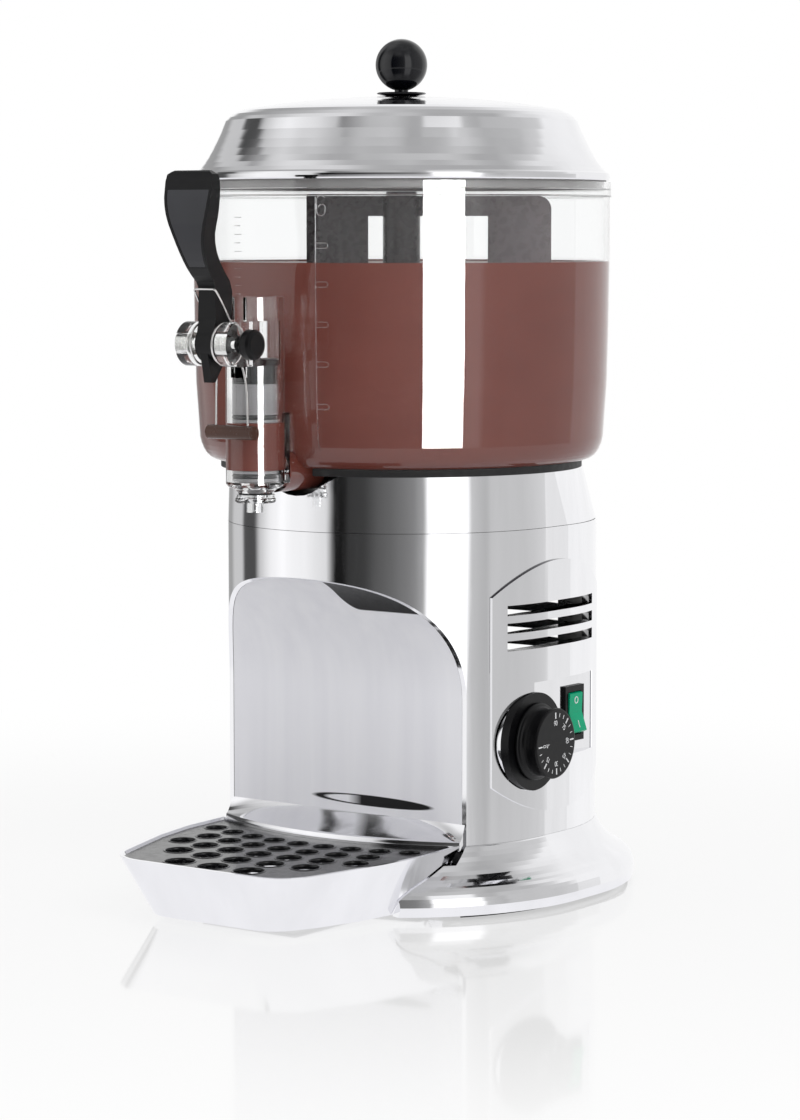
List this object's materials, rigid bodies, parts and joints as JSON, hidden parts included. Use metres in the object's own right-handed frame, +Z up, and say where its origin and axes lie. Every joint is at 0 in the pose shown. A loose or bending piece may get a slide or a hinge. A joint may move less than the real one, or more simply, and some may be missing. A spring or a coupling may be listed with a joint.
{
  "type": "hot chocolate dispenser",
  "caption": "Countertop hot chocolate dispenser: polished body on a flared foot, clear bowl with stirrer, lever tap, domed lid, drip tray, dial and switch.",
  "frame": {"origin": "on the table under the bowl's axis, in the plane of the rubber ring's underside", "axes": "+Z up along the bowl's axis, -Y towards the tap and the drip tray, +X towards the control panel"},
  "size_m": [0.2586, 0.3558, 0.5104],
  "materials": {
    "polished_metal": "mirror polished aluminium",
    "sheet_steel": "plain stainless sheet",
    "clear_plastic": "clear polycarbonate",
    "black_gloss": "glossy black plastic",
    "black_satin": "satin black plastic",
    "black_rubber": "black rubber",
    "green_plastic": "green rocker plastic",
    "brown_plastic": "brown plastic",
    "grey_plastic": "grey piston plastic",
    "stirrer_plastic": "dark brown food plastic",
    "spring_wire": "bright spring steel wire",
    "screw_steel": "zinc plated steel",
    "brass": "plain brass",
    "ivory_plastic": "ivory plastic",
    "dark_steel": "dark gearmotor casing",
    "copper": "copper"
  },
  "bodies": {
    "base": {"housing": "polished_metal", "foot_skirt": "polished_metal", "collar": "polished_metal", "niche_liner": "polished_metal", "splash_ledge": "polished_metal", "bottom_plate": "sheet_steel", "rubber_ring": "black_rubber", "ring_screws": "screw_steel", "top_deck": "sheet_steel", "water_tank": "sheet_steel", "heating_element": "dark_steel", "tank_tube_bush": "brass", "bowl_gasket": "black_rubber", "gearbox": "dark_steel", "gear_motor": "dark_steel", "motor_bracket": "sheet_steel", "bracket_screws": "screw_steel", "rear_cover": "sheet_steel", "rear_cover_screws": "screw_steel", "cable_gland": "black_satin", "terminal_block": "ivory_plastic", "control_panel": "polished_metal", "thermostat_body": "ivory_plastic", "sensing_bulb": "copper", "safety_thermostat": "ivory_plastic", "dial_bezel": "black_gloss", "switch_frame": "black_satin"},
    "shaft": {"drive_shaft": "sheet_steel"},
    "dial": {"dial_knob": "black_satin"},
    "rocker": {"switch_rocker": "green_plastic"},
    "bowl_unit": {"bowl": "clear_plastic", "shaft_seal": "black_rubber", "tap_barrel": "clear_plastic", "tap_nozzle": "clear_plastic", "nozzle_washer": "black_rubber", "lever_pin": "sheet_steel", "pin_knob": "black_gloss", "pin_clip": "spring_wire", "tap_spring": "spring_wire", "spring_sleeve": "brown_plastic"},
    "stirrer_unit": {"stirrer": "stirrer_plastic", "stirrer_cap": "stirrer_plastic"},
    "lever_unit": {"tap_lever": "black_satin", "lever_panel": "black_gloss"},
    "piston_unit": {"tap_piston": "grey_plastic", "piston_cap": "black_satin", "piston_seals": "black_rubber"},
    "lid_unit": {"lid": "polished_metal", "lid_ring": "black_rubber", "knob_dish": "black_gloss", "ball_knob": "black_gloss", "lid_screw": "screw_steel"},
    "tray_unit": {"drip_tray": "polished_metal"},
    "grid_unit": {"drip_grid": "black_gloss"}
  },
  "joints": [
    {"name": "bowl_lift", "type": "slide", "parent": "base", "child": "bowl_unit", "axis": [0, 0, 1], "range_m": [0, 0.16]},
    {"name": "lid_lift", "type": "slide", "parent": "bowl_unit", "child": "lid_unit", "axis": [0, 0, 1], "range_m": [0, 0.08]},
    {"name": "shaft_turn", "type": "hinge", "parent": "base", "child": "shaft", "pos_m": [0, 0, 0.3], "axis": [0, 0, 1], "continuous": true},
    {"name": "stirrer_turn", "type": "hinge", "parent": "bowl_unit", "child": "stirrer_unit", "pos_m": [0, 0, 0.3], "axis": [0, 0, 1], "continuous": true},
    {"name": "lever_pull", "type": "hinge", "parent": "bowl_unit", "child": "lever_unit", "pos_m": [0, -0.1786, 0.3331], "axis": [1, 0, 0], "range_deg": [0, 30], "stiffness_Nm_per_rad": 0.4, "springref_deg": -20.05, "deforming": ["tap_spring"]},
    {"name": "piston_lift", "type": "slide", "parent": "bowl_unit", "child": "piston_unit", "axis": [0, 0, 1], "range_m": [0, 0.0212]},
    {"name": "tray_slide", "type": "slide", "parent": "base", "child": "tray_unit", "axis": [0, -1, 0], "range_m": [0, 0.17]},
    {"name": "grid_lift", "type": "slide", "parent": "tray_unit", "child": "grid_unit", "axis": [0, 0, 1], "range_m": [0, 0.05]},
    {"name": "dial_turn", "type": "hinge", "parent": "base", "child": "dial", "pos_m": [0.11, -0.0129, 0.0972], "axis": [-1, 0, 0], "range_deg": [0, 270]},
    {"name": "rocker_tip", "type": "hinge", "parent": "base", "child": "rocker", "pos_m": [0.1003, 0.0344, 0.1083], "axis": [0, 1, 0], "range_deg": [0, 16]}
  ],
  "couplings": [
    {"joint": "stirrer_turn", "follows": "shaft_turn", "ratio": 1},
    {"joint": "piston_lift", "follows": "lever_pull", "m_per_rad": 0.0399}
  ]
}
